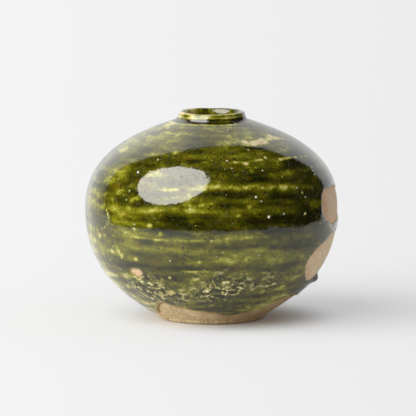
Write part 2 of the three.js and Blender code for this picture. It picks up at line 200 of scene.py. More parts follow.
LAMPS = {
    "key": {"from": Vector((-0.66, -0.42, 0.62)), "spread": math.radians(70)},
    "side": {"from": Vector((-0.88, -0.36, 0.30)), "spread": math.radians(60)},
}
FLOOR_REACH = 12.0
ROOM_RADIUS = 9.0
# The shade under the vase is left dark near its middle, and lifted in full from further out.
SHADE = {"middle": (0.015, 0, 0), "dark to": 0.040, "lifted from": 0.095}

# The camera: the photograph's direction, from far off.
CAMERA = {"aim": Vector((-0.0031, 0, 0.0869)), "elevation": math.radians(7.7), "distance": 4.0}
FRAME_WIDTH = 0.3286
SENSOR = 36.0
# How far to each side the floor's painted light changes, as a share of the distance from the camera.
VIEW_SPREAD = 0.045


def linear(red, green, blue):
    """A colour written in 0 to 255 screen values, as the shaders take it."""
    def channel(value):
        value /= 255
        return value / 12.92 if value <= 0.04045 else ((value + 0.055) / 1.055) ** 2.4
    return channel(red), channel(green), channel(blue), 1.0


# Lines and outlines

def smooth_through(points, steps, closed=False):
    """A rounded line through a few points, as an array of points."""
    points = [np.array(p, float) for p in points]
    count = len(points)
    spans = count if closed else count - 1
    line = []
    for k in range(spans):
        if closed:
            a, b, c, d = (points[(k + j) % count] for j in (-1, 0, 1, 2))
        else:
            a, b, c, d = (points[min(max(k + j, 0), count - 1)] for j in (-1, 0, 1, 2))
        for step in range(steps):
            t = step / steps
            line.append(
                b + 0.5 * t * (c - a + t * (2 * a - 5 * b + 4 * c - d + t * (3 * (b - c) + d - a)))
            )
    if not closed:
        line.append(points[-1])
    return np.array(line)


def polar(length, angle):
    return Vector((length * math.cos(angle), length * math.sin(angle)))


class ClayLine:
    """The outside of the clay: up from the foot, over the lip and down into the neck. It knows
    the runs at which the hollow round the neck begins, the neck is rooted and the line ends."""

    body_steps = 300
    collar_steps = 20
    hollow_width = 3 * MM

    def __init__(self, sizes):
        belly = Vector((sizes.belly_radius, sizes.belly_height))
        rise = Vector((0, 1))
        lower = interpolate_bezier(
            FOOT_TOP, FOOT_TOP + polar(FULLNESS["foot"], FOOT_SLOPE),
            belly - rise * FULLNESS["below belly"], belly, self.body_steps,
        )
        upper = interpolate_bezier(
            belly, belly + rise * FULLNESS["above belly"],
            SHOULDER_TOP + polar(FULLNESS["shoulder"], -SHOULDER_SLOPE), SHOULDER_TOP,
            self.body_steps,
        )
        collar = smooth_through([tuple(SHOULDER_TOP / MM), *COLLAR], self.collar_steps) * MM
        body = [tuple(p)[:2] for p in lower] + [tuple(p)[:2] for p in upper[1:]]
        line = np.vstack([np.array(body), collar[1:]])
        self.runs = np.concatenate([[0], np.cumsum(np.hypot(*np.diff(line, axis=0).T))])
        self.root = float(self.runs[len(body) - 1])
        self.hollow = self.root - self.hollow_width
        self.end = float(self.runs[-1])
        self.line = line
        along = np.gradient(line, self.runs, axis=0)
        across = np.stack([along[:, 1], -along[:, 0]], 1)
        self.normals = self.softened(across)
        self.body_points = len(body)

    def softened(self, normals, reach=0.5 * MM, step=0.1 * MM):
        """The normals, averaged over a short length, so that coats turn corners smoothly."""
        even = np.arange(0, self.end, step)
        window = np.ones(int(2 * reach / step) + 1)
        soft = np.empty_like(normals)
        for axis in (0, 1):
            spread = np.interp(even, self.runs, normals[:, axis])
            total = np.convolve(np.pad(spread, len(window) // 2, mode="edge"), window, "valid")
            soft[:, axis] = np.interp(self.runs, even, total[:len(even)] / len(window))
        return soft / np.hypot(*soft.T)[:, None]

    def at(self, run, outwards=0.0):
        """Radius and height at a run, pushed outwards by a distance."""
        radius = np.interp(run, self.runs, self.line[:, 0])
        height = np.interp(run, self.runs, self.line[:, 1])
        side = np.interp(run, self.runs, self.normals[:, 0])
        up = np.interp(run, self.runs, self.normals[:, 1])
        return radius + outwards * side, height + outwards * up

    def run_at(self, height):
        """The run at which the body, below the collar, has this height."""
        body = slice(0, self.body_points)
        return np.interp(height, self.line[body, 1], self.runs[body])

    def wall(self, run):
        marks = (0, self.root / 2, self.root)
        return np.interp(run, marks, (WALL["foot"], WALL["belly"], WALL["shoulder"]))


def hem_run(line, bearing):
    """The run at which the glaze ends, at each bearing in radians."""
    rounded = smooth_through(list(HEM), 16, closed=True)
    turned = np.degrees(bearing) % 360
    degrees = np.concatenate([rounded[:, 0] - 360, rounded[:, 0], rounded[:, 0] + 360])
    heights = np.tile(rounded[:, 1], 3)
    order = np.argsort(degrees)
    return line.run_at(np.interp(turned, degrees[order], heights[order]) * MM)


def distance_outside(outline, across, along):
    """Distance from each point to a closed outline, below zero inside it."""
    start = outline
    step = np.roll(outline, -1, axis=0) - start
    nearest = np.full(len(across), np.inf)
    inside = np.zeros(len(across), bool)
    for (x, y), (dx, dy) in zip(start, step):
        share = np.clip(((across - x) * dx + (along - y) * dy) / (dx * dx + dy * dy), 0, 1)
        nearest = np.minimum(nearest, np.hypot(across - x - share * dx, along - y - share * dy))
        crosses = (y > along) != (y + dy > along)
        reach = x + (along - y) / (dy if abs(dy) > 1e-12 else 1e-12) * dx
        inside ^= crosses & (across < reach)
    return np.where(inside, -nearest, nearest)


def wobble(points, size, seed=0.0):
    """Smooth noise from -1 to 1 at each point, with lumps of about this size."""
    shift = Vector((seed, 2 * seed, -seed))
    return np.array([noise.noise(Vector(p) / size + shift) for p in points])


def lumpy(points, *layers):
    """Smooth noise in layers, each given by the size of its lumps in mm, a seed and a reach."""
    return sum(wobble(points, size * MM, seed) * reach for size, seed, reach in layers)


def round_places(bearing, run):
    """Points that follow the surface without a seam: round a circle, and up the run."""
    reach = 0.1
    return np.stack([reach * np.cos(bearing), reach * np.sin(bearing), run], 1)


def bearing_from_back(bearing):
    """Bearings in radians, from minus a quarter turn at the back to three quarters."""
    return (bearing + math.pi / 2) % TURN - math.pi / 2


def smoothstep(value, low, high):
    share = np.clip((value - low) / (high - low), 0, 1)
    return share * share * (3 - 2 * share)


def arc(degrees, start, full, fading, end):
    """One on a stretch of bearings, and zero away from it."""
    return smoothstep(degrees, start, full) - smoothstep(degrees, fading, end)


def bell(value, middle, width, power=2):
    return np.exp(-(((value - middle) / width) ** power))


class Pour:
    """How the glaze lies on the clay: how far from an edge, how thick and how pale."""

    edge_reach = 8 * MM
    window_margin = 12 * MM
    far_off = 50 * MM
    hem_round = 0.9 * MM
    window_round = 1.3 * MM
    roll = {"proud": 0.25 * MM, "middle": 2.0 * MM, "width": 1.5 * MM}
    neck = {"from": -2 * MM, "to": 4 * MM, "thinner": 0.3}
    dip = {"slope": 1.3, "depth": 1.3 * MM}

    def __init__(self, line, coat):
        self.line = line
        self.coat = coat
        self.windows = [self.outline(w) for w in (UPPER_WINDOW, LOWER_WINDOW, SMALL_WINDOW)]

    def outline(self, corners):
        rounded = smooth_through(corners, 6, closed=True)
        middle = float(np.mean(rounded[:, 1])) * MM
        radius = float(self.line.at(self.line.run_at(middle))[0])
        across = np.radians(rounded[:, 0]) * radius
        along = self.line.run_at(rounded[:, 1] * MM)
        return radius, np.stack([across, along], 1)

    def from_windows(self, bearing, run):
        """Distance from the nearest window, below zero inside it."""
        near = np.full(len(run), self.far_off)
        turned = bearing_from_back(bearing)
        for radius, outline in self.windows:
            low = outline.min(axis=0) - self.window_margin
            high = outline.max(axis=0) + self.window_margin
            across = turned * radius
            close = (across > low[0]) & (across < high[0]) & (run > low[1]) & (run < high[1])
            if close.any():
                found = distance_outside(outline, across[close], run[close])
                near[close] = np.minimum(near[close], found)
        return near

    def from_edges(self, bearing, run):
        """Distances from the hem and from the windows, below zero where the clay is bare."""
        hem = run - hem_run(self.line, bearing)
        windows = self.from_windows(bearing, run)
        close = np.minimum(np.abs(hem), np.abs(windows)) < self.edge_reach
        places = round_places(bearing[close], run[close])
        lumps = lumpy(places, (9, 3, 1.1), (3.2, 7, 0.6), (1.9, 19, 0.7)) * MM
        hem[close] += lumps
        windows[close] += lumps
        return hem, windows

    def bead(self, bearing, run):
        centre = self.line.run_at(BEAD["height"] * MM)
        radius = float(self.line.at(centre)[0])
        across = (bearing_from_back(bearing) - math.radians(BEAD["bearing"])) * radius
        lump = (across / BEAD["half width"]) ** 2 + ((run - centre) / BEAD["half height"]) ** 2
        return BEAD["proud"] * np.exp(-lump)

    def thickness(self, bearing, run, hem, windows):
        """How far the face of the glaze stands from the clay. It rolls over at the hem, and
        thins away without a roll round the windows."""
        root = self.line.root
        full = 1 - self.neck["thinner"] * smoothstep(run, root + self.neck["from"], root + self.neck["to"])
        full *= self.coat
        above = np.maximum(hem, 0)
        rolled = full * (1 - np.exp(-above / self.hem_round))
        rolled += self.roll["proud"] * bell(above, self.roll["middle"], self.roll["width"]) * (hem > 0)
        beside = full * (1 - np.exp(-np.maximum(windows, 0) / self.window_round))
        near = np.minimum(hem, windows)
        under = np.maximum(near * self.dip["slope"], -self.dip["depth"])
        return np.where(near > 0, np.minimum(rolled, beside), under) + self.bead(bearing, run)

    def paleness(self, bearing, run):
        """Above zero where ridges and blots lie close under thin glaze, below it in thick runs, with
        painted light and shade on the sides, high up and round the neck.
        """
        line = self.line
        turned = bearing_from_back(bearing)
        degrees = np.degrees(turned)
        places = round_places(bearing, run)
        broken = 0.72 + lumpy(places, (7, 11, 1.2), (2.6, 17, 0.7))
        drift = wobble(places * np.array([1, 1, 0.3]), 24 * MM, 5) * 1.5 * MM
        pale = self.neck_paleness(turned, run)
        for left, top, right, bottom, half_width, thin in STROKES:
            start, end = line.run_at(top * MM), line.run_at(bottom * MM)
            radius = float(line.at((start + end) / 2)[0])
            far = Vector(((math.radians(right - left)) * radius, end - start))
            across = (turned - math.radians(left)) * radius
            along = run - drift - start
            share = np.clip((across * far.x + along * far.y) / far.length_squared, 0, 1)
            gap = np.hypot(across - share * far.x, along - share * far.y)
            patchy = np.maximum(broken, 0.6) if thin > 0.6 else broken
            pale += thin * bell(gap, 0, half_width * MM) * (patchy if thin > 0 else 1)
        for where, height, radius, thin in BLOTS:
            centre = line.run_at(height * MM)
            across = (turned - math.radians(where)) * float(line.at(centre)[0])
            spread = (across / (1.2 * radius * MM)) ** 2 + ((run - centre) / (radius * MM)) ** 2
            pale += thin * np.exp(-spread ** 1.5)
        # Painted shade on the right side and painted light on the left; paler low down, and painted light
        # from above high up.
        for *stretch, thin in SIDE_LIGHT_AND_SHADE:
            pale += thin * arc(degrees, *stretch)
        low, high = (
            thin * smoothstep(run, line.run_at(start * MM), line.run_at(end * MM))
            for start, end, thin in (LOW_DOWN, PAINTED_TOP_LIGHT)
        )
        pale += LOW_DOWN[2] - low + high
        *stretch, thin = HEM_SIDE
        above_hem = np.maximum(run - hem_run(line, bearing), 0)
        return pale + thin * np.exp(-above_hem / HEM_FADE) * arc(degrees, *stretch)

    def neck_paleness(self, turned, run):
        """Dark in the hollow round the neck, as painted shade; pale along its foot; thin on the lip's two
        edges; and paler inside, most of all on the right, as painted light.
        """
        above = (run - self.line.root) / MM - smoothstep(np.cos(turned - 0.9), -0.3, 0.7)
        # The ring below the root is paler; the dip round the root is painted shade in the hollow.
        neck = 0.55 * bell(above, -4.7, 1.3) - 1.1 * bell(above, -0.2, 3.0, 4)
        lip = 0.70 * bell(above, 3.9, 0.7) + 0.25 * bell(above, 5.6, 1.4) + 0.85 * bell(above, 7.3, 0.9)
        front = 0.25 + 0.75 * smoothstep(np.sin(turned), -0.5, 0.1)
        right = 1 - smoothstep(np.abs(np.degrees(turned) - 10), 25, 60)
        # Painted light inside the neck, strongest on the right.
        inside = (0.14 + 0.30 * right) * smoothstep(above, 9.5, 11)
        return neck + lip * front + inside

    def crust(self, bearing, run):
        turned = bearing_from_back(bearing)
        places = round_places(bearing, run)
        edge = 1.2 + 0.5 * wobble(places, 8 * MM, 23)
        crust = np.zeros(len(run))
        for where, height, half_width, half_height, rough in CRUSTS:
            centre = self.line.run_at(height * MM)
            across = (turned - math.radians(where)) * float(self.line.at(centre)[0])
            spread = np.hypot(across / (half_width * MM), (run - centre) / (half_height * MM))
            crust = np.maximum(crust, rough * np.clip((edge - spread) * 1.3, 0, 1))
        return crust


# Meshes

def place_round(bearing, radius, height):
    """Points of the vase, which is slightly oval and has a slightly wavy lip."""
    oval = radius * (1 + OVALITY * np.cos(2 * bearing + OVAL_TURN))
    share = smoothstep(height, SHOULDER_TOP.y + 1 * MM, SHOULDER_TOP.y + 5 * MM)
    wave = LIP_WAVE * (np.sin(2 * bearing + 1.1) * 0.7 + np.sin(5 * bearing) * 0.4)
    return np.stack([oval * np.cos(bearing), -oval * np.sin(bearing), height + share * wave], 1)


def spun(name, section, steps, marks):
    """A closed section of (radius, height) turned round the axis into a mesh object. Marks are
    named numbers, one for each point of the section, which the mesh keeps."""
    shell = bmesh.new()
    layers = {key: shell.verts.layers.float.new(key) for key in marks}
    corners = []
    for k, (radius, height) in enumerate(section):
        corner = shell.verts.new((max(radius, 0.0), 0.0, height))
        for key, layer in layers.items():
            corner[layer] = marks[key][k]
        corners.append(corner)
    edges = [shell.edges.new(pair) for pair in zip(corners, corners[1:] + corners[:1])]
    bmesh.ops.spin(
        shell, geom=corners + edges, cent=(0, 0, 0), axis=(0, 0, 1), dvec=(0, 0, 0),
        angle=TURN, steps=steps, use_merge=True, use_normal_flip=False, use_duplicate=False,
    )
    bmesh.ops.remove_doubles(shell, verts=shell.verts, dist=1e-6)
    if shell.calc_volume(signed=True) < 0:
        bmesh.ops.reverse_faces(shell, faces=shell.faces)
    mesh = bpy.data.meshes.new(name)
    shell.to_mesh(mesh)
    shell.free()
    piece = bpy.data.objects.new(name, mesh)
    bpy.context.scene.collection.objects.link(piece)
    return piece


def bearings_of(piece):
    """The bearing of each vertex, in radians from 0 to a full turn, and the vertices' places."""
    places = np.empty(len(piece.data.vertices) * 3)
    piece.data.vertices.foreach_get("co", places)
    places = places.reshape(-1, 3)
    return np.arctan2(-places[:, 1], places[:, 0]) % TURN, places


def mark_of(piece, key):
    values = np.empty(len(piece.data.vertices))
    piece.data.attributes[key].data.foreach_get("value", values)
    return values


def set_mark(piece, key, values):
    layer = piece.data.attributes.new(key, "FLOAT", "POINT")
    layer.data.foreach_set("value", np.asarray(values, np.float32))


def set_places(piece, places):
    piece.data.vertices.foreach_set("co", np.asarray(places, np.float32).ravel())
    piece.data.update()


def set_round_places(piece, bearing, run):
    layer = piece.data.attributes.new("round", "FLOAT_VECTOR", "POINT")
    layer.data.foreach_set("vector", round_places(bearing, run).astype(np.float32).ravel())


def finish_piece(piece, material, nodes, crease=None):
    """Smooths, dresses and seats a piece, which stands for these nodes of the frame."""
    piece.data.shade_smooth()
    if crease is not None:
        piece.data.set_sharp_from_angle(angle=crease)
    piece.data.materials.append(material)
    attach(piece, BODY)
    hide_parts(*nodes)


def spaced(start, stop, gap):
    count = max(int(round(abs(stop - start) / gap)), 1)
    return np.linspace(start, stop, count + 1)


def clay_piece(name, points, steps, pour):
    """A turned piece of clay, a little uneven, with the marks that its finish needs. Its
    points are (radius, height, run)."""
    piece = spun(name, [point[:2] for point in points], steps, {"run": [point[2] for point in points]})
    bearing, places = bearings_of(piece)
    run = mark_of(piece, "run")
    radius = np.hypot(places[:, 0], places[:, 1])
    outside = run >= 0
    spots = round_places(bearing[outside], run[outside])
    radius[outside] += lumpy(spots, (6, 31, 0.05), (2.5, 37, 0.03)) * MM
    set_places(piece, place_round(bearing, radius, places[:, 2]))
    near = np.full(len(run), -pour.far_off)
    near[outside] = np.minimum(*pour.from_edges(bearing[outside], run[outside]))
    set_mark(piece, "near", np.clip(near / MM, -50, 50))
    set_round_places(piece, bearing, np.maximum(run, 0))
    return piece


# Finishes

class Amount:
    """What a node gives. It takes plain arithmetic with numbers and with other amounts."""

    def __init__(self, finish, socket):
        self.finish = finish
        self.socket = socket

    def __add__(self, other):
        return self.finish.maths("ADD", self, other)

    def __sub__(self, other):
        return self.finish.maths("SUBTRACT", self, other)

    def __mul__(self, other):
        return self.finish.maths("MULTIPLY", self, other)

    def __truediv__(self, other):
        return self.finish.maths("DIVIDE", self, other)


class Finish:
    """A material, or the world, and the few kinds of node that the finishes here are made of."""

    def __init__(self, name, world=None):
        self.material = world or bpy.data.materials.new(name)
        self.material.use_nodes = True
        self.tree = self.material.node_tree
        self.tree.nodes.clear()

    def feed(self, socket, value):
        if isinstance(value, Amount):
            self.tree.links.new(value.socket, socket)
        elif isinstance(value, bpy.types.Node):
            self.tree.links.new(value.outputs[0], socket)
        elif value is not None:
            socket.default_value = value

    def node(self, kind, *values, settings=None, **inputs):
        """A new node. Values go to its inputs in order, and others to the input of their name."""
        made = self.tree.nodes.new("ShaderNode" + kind)
        for key, value in (settings or {}).items():
            setattr(made, key, value)
        for socket, value in zip(made.inputs, values):
            self.feed(socket, value)
        for key, value in inputs.items():
            self.feed(made.inputs[key.replace("_", " ")], value)
        return made

    def amount(self, kind, *values, output=0, **more):
        return Amount(self, self.node(kind, *values, **more).outputs[output])

    def maths(self, operation, *values):
        return self.amount("Math", *values, settings={"operation": operation})

    def vector(self, operation, *values, output="Vector"):
        return self.amount("VectorMath", *values, output=output, settings={"operation": operation})

    def mark(self, key, output="Fac"):
        return self.amount("Attribute", output=output, settings={"attribute_name": key})

    def place(self):
        return self.amount("TexCoord", output="Object")

    def split(self, vector):
        outputs = self.node("SeparateXYZ", Vector=vector).outputs
        return [Amount(self, outputs[axis]) for axis in "XYZ"]

    def squeezed(self, vector, times, shift=(0, 0, 0)):
        """The vector, on which a pattern lies this many times lower than it is wide."""
        return self.amount("Mapping", Vector=vector, Scale=(1, 1, times), Location=shift)

    def noise(self, vector, scale, detail=2.0, roughness=0.5, output="Fac"):
        return self.amount(
            "TexNoise", output=output, Vector=vector, Scale=scale, Detail=detail, Roughness=roughness,
        )

    def cells(self, vector, scale, output="Distance"):
        return self.amount("TexVoronoi", output=output, Vector=vector, Scale=scale)

    def dotted(self, vector, scale, channel, chance, size, softness):
        """Round dots in some of the cells of a scattered pattern, of mixed sizes."""
        pick = self.amount("SeparateColor", output=channel, Color=self.cells(vector, scale, "Color"))
        radius = self.remap(pick, chance, 1.0, 0.0, size, smooth=False)
        return self.remap(self.cells(vector, scale) - radius, softness / 3, -softness)

    def pinholes(self, vector, line, shift):
        """One at every pinhole, or shifted up or down from it, and zero elsewhere."""
        found = None
        for where, height, radius in PINHOLES:
            centre = round_places(np.radians([where]), np.array([line.run_at(height * MM) + shift]))[0]
            gap = self.vector("DISTANCE", vector, centre, output="Value")
            dot = self.remap(gap, 1.15 * radius * MM, 0.6 * radius * MM)
            found = self.maths("MAXIMUM", found, dot) if found else dot
        return found

    def remap(self, value, low, high, to_low=0.0, to_high=1.0, smooth=True):
        return self.amount(
            "MapRange", settings={"interpolation_type": "SMOOTHSTEP" if smooth else "LINEAR"},
            Value=value, From_Min=low, From_Max=high, To_Min=to_low, To_Max=to_high,
        )

    def ramp(self, value, stops):
        made = self.node("ValToRGB", value)
        bar = made.color_ramp
        while len(bar.elements) < len(stops):
            bar.elements.new(0.5)
        for element, (place, colour) in zip(bar.elements, stops):
            element.position = place
            element.color = colour
        return Amount(self, made.outputs[0])

    def layered(self, colour, *layers):
        """A colour with others laid over it in turn, each by its own share. A Mix node has its
        colours at inputs 6 and 7 and at output 2."""
        for share, over in layers:
            made = self.node("Mix", settings={"data_type": "RGBA"})
            for index, value in ((0, share), (6, colour), (7, over)):
                self.feed(made.inputs[index], value)
            colour = Amount(self, made.outputs[2])
        return colour

    def warped(self, vector, scale, reach):
        """The vector, pushed about by noise."""
        centred = self.vector("SUBTRACT", self.noise(vector, scale, output="Color"), (0.5, 0.5, 0.5))
        return self.vector("MULTIPLY_ADD", centred, (reach, reach, reach), vector)

    def bump(self, height, distance, normal=None, strength=1.0):
        return self.amount("Bump", Height=height, Distance=distance, Normal=normal, Strength=strength)

    def show(self, shader, output="OutputMaterial"):
        self.node(output, Surface=shader)
        return self.material

    def seen_directly(self):
        """One for rays from the camera, from a mirror and through glass, and zero for the light."""
        rays = self.node("LightPath").outputs
        kinds = [Amount(self, rays[f"Is {kind} Ray"]) for kind in ("Camera", "Glossy", "Transmission")]
        return kinds[0] + (kinds[1] + kinds[2])


def glaze_finish(looks, line, name="green_ash_glaze"):
    """Run ash glaze: pale where it is thin, near black where it is thick, with spots and pits."""
    finish = Finish(name)
    remap, cloud = finish.remap, finish.noise
    around = finish.mark("round", "Vector")
    pale, crust, near = (finish.mark(key) for key in ("pale", "crust", "near"))
    across, _, up = finish.split(finish.place())

    # Patterns, from wide bands round the vase down to fine grain
    loose = finish.warped(around, 90.0, 0.004)
    bands = cloud(finish.squeezed(loose, 3), 22.0)
    ribbons = cloud(finish.squeezed(loose, 3.6), 50.0, 3.0, 0.55)
    clumps = cloud(loose, 190.0, 3.0, 0.55)
    mottle = cloud(around, 460.0, 4.0, 0.65)
    grain = cloud(around, 1500.0, 2.0, 0.6)
    blooms = remap(cloud(finish.squeezed(loose, 1.6, (3, 1, 2)), 130.0), 0.57, 0.74)
    blooms = blooms * remap(cloud(finish.squeezed(loose, 2, (5, 2, 1)), 26.0, 1.0), 0.46, 0.60)
    drips = remap(cloud(finish.squeezed(loose, 0.28), 300.0), 0.55, 0.72)
    drips = drips * (remap(across, -0.066, -0.092) * remap(up, 0.130, 0.112))
    climb = finish.split(finish.warped(around, 20.0, 0.007))[2]
    broken = finish.maths("SINE", climb * (TURN / RIDGE_PITCH)) * 0.055
    for layer, share in (
        (bands - 0.5, 1.00), (ribbons - 0.5, 0.82), (clumps - 0.5, 0.36), (mottle - 0.5, 0.46),
        (grain - 0.5, 0.52), (blooms, -0.22), (drips, -0.22),
    ):
        broken = broken + layer * share

    # How thick the glaze is, with the painted light and shade that pale carries: calmer under the belly
    # and high up, livelier near the foot
    quiet = remap(up, 0.046, 0.054) * remap(up, 0.084, 0.072)
    quiet = finish.maths("MAXIMUM", quiet, remap(up, 0.130, 0.146, 0.0, 0.5))
    lively = quiet * -0.20 + 1.0 + remap(up, 0.050, 0.038) * 0.35
    depth = broken * lively + (pale * -0.62 + 0.60)
    depth = depth * (remap(near, 0.0, 3.2) * 0.90 + 0.10)
    body = finish.ramp(depth, (
        (0.00, linear(212, 190, 136)),
        (0.05, linear(190, 164, 100)),
        (0.11, linear(204, 194, 120)),
        (0.20, (*looks.thin, 1)),
        (0.34, linear(120, 119, 22)),
        (0.50, (*looks.middle, 1)),
        (0.70, linear(54, 54, 6)),
        (0.92, (*looks.thick, 1)),
    ))

    hem = remap(near + remap(across, -0.046, -0.016, -3.2, 0.0), 3.8, 1.0)
    warm = finish.ramp(remap(mottle, 0.40, 0.62), (
        (0.0, linear(130, 112, 44)),
        (1.0, linear(186, 166, 104)),
    ))
    amber = remap(cloud(finish.squeezed(around, 3), 55.0), 0.58, 0.76)
    crumbs = cloud(finish.warped(finish.squeezed(around, 1.7), 160.0, 0.003), 165.0, 5.0, 0.66)
    clinker = finish.ramp(crumbs, (
        (0.42, linear(6, 10, 10)),
        (0.47, linear(38, 42, 14)),
        (0.52, linear(96, 94, 30)),
        (0.56, linear(164, 152, 76)),
        (0.62, linear(240, 230, 176)),
    ))

    # Pale spots with a pit under each, dark specks, tiny bubbles, and painted highlights at the pinholes
    # over painted shadows
    spots = finish.dotted(around, 165.0, "Red", 0.84, 0.34, 0.10) * remap(mottle, 0.42, 0.56)
    under = finish.squeezed(around, 1, (0, 0, -1.6 * MM))
    pits = finish.dotted(under, 165.0, "Red", 0.84, 0.34, 0.10)
    specks = finish.dotted(around, 420.0, "Green", 0.84, 0.42, 0.05)
    bubbles = finish.dotted(around, 640.0, "Blue", 0.58, 0.40, 0.08)
    glints = finish.pinholes(around, line, 0.0)
    pinhole_shadows = finish.pinholes(around, line, -1.1 * MM)
    body = finish.layered(
        body,
        (hem * 0.80, warm),
        (amber * 0.45, linear(108, 78, 10)),
        (crust, clinker),
        (pits * 0.60, linear(16, 18, 4)),
        (spots * 0.85, linear(196, 190, 108)),
        (specks * 0.85, linear(16, 18, 4)),
        (remap(pale, -0.35, -0.80), linear(38, 27, 12)),
        # Painted shadows under the pinholes, and painted white highlights on them.
        (pinhole_shadows * 0.80, linear(12, 14, 4)),
        (glints, linear(240, 238, 220)),
    )

    dull = finish.maths("MAXIMUM", spots * 0.8, crust * 0.5)
    dull = finish.maths("MAXIMUM", dull, remap(near, 5.0, 2.0))
    rough = dull * 0.42 + remap(mottle, 0.3, 0.7, 0.035, 0.075)
    raised = spots * -0.35 + glints + bubbles * -0.8
    normal = None
    for height, reach in (
        (cloud(around, 210.0), 0.08), (mottle, 0.015), (raised, 0.12), (crust * crumbs, 1.6),
    ):
        normal = finish.bump(height, reach * MM, normal)
    return finish.show(finish.node(
        "BsdfPrincipled", Base_Color=body, Roughness=rough, Normal=normal, IOR=looks.glaze_ior,
    ))


def clay_finish(looks):
    """Bare fired clay: sandy, with orange flashing along the edge of the glaze."""
    finish = Finish("fired_stoneware")
    remap, cloud = finish.remap, finish.noise
    around = finish.mark("round", "Vector")
    near = finish.mark("near")
    across, back, up = finish.split(finish.place())
    sand = cloud(finish.squeezed(around, 1.5), 620.0, 5.0, 0.75)
    clouds = cloud(around, 60.0, 3.0, 0.55)
    wiped = remap(cloud(finish.squeezed(around, 7), 110.0, 3.0, 0.6), 0.50, 0.66, 0.0, 0.62)
    blotches = remap(cloud(around, 300.0, 3.0, 0.6), 0.48, 0.60)
    dots = finish.dotted(around, 520.0, "Red", 0.82, 0.36, 0.08)
    middle = remap(up, 0.028, 0.036)
    high = remap(up, 0.070, 0.085)
    # Painted shade: the clay is browner low down towards the right.
    painted_shade_right = remap(across, -0.035, 0.045, 0.0, 0.75) * remap(up, 0.032, 0.024)
    flash = remap(near + clouds * 4.0, -3.5, 2.2)
    singed = remap(near, -2.3, -0.7) * remap(up, 0.034, 0.026)
    body = finish.ramp((sand - 0.5) * 3.4 + clouds, (
        (0.25, linear(156, 124, 84)),
        (0.50, (*looks.clay, 1)),
        (0.75, linear(250, 232, 190)),
    ))
    body = finish.layered(
        body,
        (wiped, linear(178, 144, 108)),
        (painted_shade_right, linear(166, 133, 90)),
        (middle * 0.70, linear(222, 203, 168)),
        (high * 0.80, linear(200, 172, 142)),
        (blotches * middle * remap(back, -0.005, -0.045) * 0.45, linear(204, 140, 92)),
        (high * remap(back, -0.034, -0.046) * 0.45, linear(142, 92, 64)),
        (flash * 0.40, (*looks.flash, 1)),
        (singed * 0.75, linear(112, 72, 30)),
        (dots * 0.55, linear(118, 84, 54)),
    )
    gritty = finish.bump(sand, 0.22 * MM, strength=0.9)
    return finish.show(finish.node(
        "BsdfPrincipled", Base_Color=body, Roughness=remap(sand, 0.3, 0.7, 0.62, 0.85), IOR=1.5,
        Normal=finish.bump(dots, -0.2 * MM, gritty),
    ))


# Settings

class VaseSizes(bpy.types.PropertyGroup):
    """Sizes of the vase and its coat of glaze"""

    belly_radius: FloatProperty(
        name="Belly Radius", description="Radius of the clay at its widest", default=98.75 * MM,
        min=0.02, max=0.5, precision=4, subtype="DISTANCE", unit="LENGTH",
    )
    belly_height: FloatProperty(
        name="Belly Height", description="Height at which the clay is widest", default=87.7 * MM,
        min=0.02, max=0.5, precision=4, subtype="DISTANCE", unit="LENGTH",
    )
    coat: FloatProperty(
        name="Coat", description="Thickness of the glaze over the clay", default=1.1 * MM,
        min=0.0002, max=0.003, precision=5, subtype="DISTANCE", unit="LENGTH",
    )
    facets: IntProperty(name="Facets", description="Faces round the glaze", default=372, min=60, max=400)


class VaseLooks(bpy.types.PropertyGroup):
    """Colours and gloss of the glaze and the clay"""

    thick: FloatVectorProperty(
        name="Thick Glaze", description="Where the glaze pools", default=linear(27, 28, 4)[:3],
        size=3, min=0, max=1, subtype="COLOR",
    )
    middle: FloatVectorProperty(
        name="Glaze", description="Where the coat is even", default=linear(84, 82, 9)[:3],
        size=3, min=0, max=1, subtype="COLOR",
    )
    thin: FloatVectorProperty(
        name="Thin Glaze", description="Over ridges and edges", default=linear(160, 158, 56)[:3],
        size=3, min=0, max=1, subtype="COLOR",
    )
    clay: FloatVectorProperty(
        name="Clay", description="Bare fired clay", default=linear(220, 198, 154)[:3],
        size=3, min=0, max=1, subtype="COLOR",
    )
    flash: FloatVectorProperty(
        name="Flashing", description="Clay next to the glaze", default=linear(218, 160, 116)[:3],
        size=3, min=0, max=1, subtype="COLOR",
    )
    glaze_ior: FloatProperty(
        name="Glaze IOR", description="Gloss of the glaze", default=1.58, min=1.3, max=2.2,
    )


class StudioSettings(bpy.types.PropertyGroup):
    """Light and floor of the set"""

    table: FloatVectorProperty(
        name="Table", description="Colour of the white table", default=(0.90, 0.90, 0.905),
        size=3, min=0, max=1, subtype="COLOR",
    )
    key: FloatProperty(
        name="Key Light", description="Strength of the soft key light", default=1.92, min=0,
    )
    side: FloatProperty(
        name="Side Light", description="Strength of the low side light", default=1.45, min=0,
    )
    fill: FloatProperty(
        name="Fill Light", description="Strength of the room's light", default=0.455, min=0,
    )
    glow: FloatProperty(
        name="Softbox Glow", description="Brightness of the reflected lamp", default=8.6, min=0,
    )
    lift: FloatProperty(
        name="Shadow Lift", description="How much the floor's shadows are lifted", default=0.44, min=0,
    )
    back: FloatProperty(
        name="Backdrop Glow", description="Share of the reflected backdrop", default=1.0, min=0,
    )


# Operators

